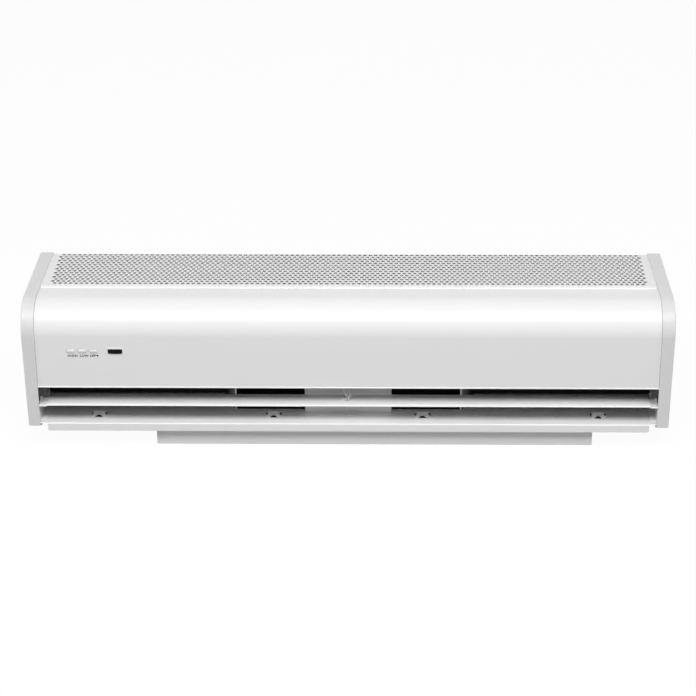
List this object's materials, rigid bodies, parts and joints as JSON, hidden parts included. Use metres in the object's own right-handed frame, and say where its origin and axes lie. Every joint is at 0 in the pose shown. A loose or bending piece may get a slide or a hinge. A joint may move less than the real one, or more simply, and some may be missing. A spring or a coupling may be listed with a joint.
{
  "type": "air curtain",
  "caption": "Wall-mounted air curtain: folded steel casing, perforated intake, long outlet slot with a tilting vane, blower wheels on a shared motor shaft, and push-button controls.",
  "frame": {"origin": "middle of the wall plane: centre of the unit along X and Y, on the outer face of the wall bracket", "axes": "The unit lies on its wall side, as in the picture. +X along the unit towards the end without controls, seen from the outlet as right. +Y from the outlet towards the closed back panel, which is up when it hangs over a door. +Z away from the wall, towards the room and the intake grille."},
  "size_m": [0.9, 0.194, 0.2165],
  "materials": {
    "casing_paint": "satin off-white powder coat",
    "cap_plastic": "fine moulded satin, off-white",
    "vane_plastic": "smooth extruded white plastic",
    "button_plastic": "glossy pale plastic",
    "zinc_sheet": "zinc-coated sheet, faint spangle",
    "duct_black": "matte black paint on the sheet that lines the duct and the blowers' scrolls",
    "wheel_aluminium": "plain satin aluminium",
    "bright_steel": "turned bright steel",
    "motor_paint": "black baked enamel",
    "copper_winding": "enamelled copper wire on laminated steel",
    "black_plastic": "moulded black plastic",
    "grey_plastic": "moulded grey plastic",
    "terminal_plastic": "moulded ivory plastic",
    "smoked_lens": "dark red infrared window",
    "lamp_lens": "unlit red lens",
    "board_green": "green solder mask",
    "black_rubber": "black rubber"
  },
  "bodies": {
    "casing": {"chassis_plate": "casing_paint", "outlet_cover": "casing_paint", "intake_grille": "casing_paint", "rear_panel": "casing_paint", "wall_bracket": "casing_paint", "duct_ceiling": "duct_black", "centre_plate": "casing_paint", "vane_support": "casing_paint", "motor_can": "motor_paint", "stator": "copper_winding", "motor_cradle": "zinc_sheet", "motor_strap": "zinc_sheet", "end_cap_left": "cap_plastic", "end_cap_right": "cap_plastic", "side_plate_left": "casing_paint", "side_plate_right": "casing_paint", "duct_back_left": "duct_black", "duct_back_right": "duct_black", "scroll_left": "duct_black", "scroll_right": "duct_black", "inlet_ring_left": "zinc_sheet", "inlet_ring_right": "zinc_sheet", "motor_bell_left": "wheel_aluminium", "motor_bell_right": "wheel_aluminium", "bearing_left": "bright_steel", "bearing_right": "bright_steel", "bracket_screw_left": "bright_steel", "bracket_screw_right": "bright_steel", "cap_screw_left_front": "bright_steel", "cap_screw_left_rear": "bright_steel", "cap_screw_right_front": "bright_steel", "cap_screw_right_rear": "bright_steel", "switch_high": "black_plastic", "switch_low": "black_plastic", "switch_off": "black_plastic", "receiver_window": "smoked_lens", "remote_receiver": "black_plastic", "indicator_lamp": "lamp_lens", "button_carrier": "grey_plastic", "control_board": "board_green", "terminal_block": "terminal_plastic", "motor_capacitor": "grey_plastic", "capacitor_clip": "zinc_sheet", "cable_grommet": "black_rubber", "motor_lead": "black_rubber", "control_lead": "black_rubber"},
    "rotor": {"motor_shaft": "bright_steel", "rotor_core": "bright_steel", "wheel_hub_left": "wheel_aluminium", "wheel_hub_right": "wheel_aluminium", "blower_wheel_left": "wheel_aluminium", "blower_wheel_right": "wheel_aluminium"},
    "vane": {"vane_blade": "vane_plastic", "vane_end_left": "vane_plastic", "vane_end_right": "vane_plastic", "vane_centre_clip": "vane_plastic"},
    "button_high": {"button_high": "button_plastic"},
    "button_low": {"button_low": "button_plastic"},
    "button_off": {"button_off": "button_plastic"}
  },
  "joints": [
    {"name": "rotor_spin", "type": "hinge", "parent": "casing", "child": "rotor", "pos_m": [0, 0.01, 0.1265], "axis": [1, 0, 0], "continuous": true},
    {"name": "vane_tilt", "type": "hinge", "parent": "casing", "child": "vane", "pos_m": [0, -0.08, 0.066], "axis": [1, 0, 0], "range_deg": [-20, 20]},
    {"name": "button_high_press", "type": "slide", "parent": "casing", "child": "button_high", "axis": [0, 1, 0], "range_m": [0, 0.001], "stiffness_N_per_m": 400},
    {"name": "button_low_press", "type": "slide", "parent": "casing", "child": "button_low", "axis": [0, 1, 0], "range_m": [0, 0.001], "stiffness_N_per_m": 400},
    {"name": "button_off_press", "type": "slide", "parent": "casing", "child": "button_off", "axis": [0, 1, 0], "range_m": [0, 0.001], "stiffness_N_per_m": 400}
  ]
}
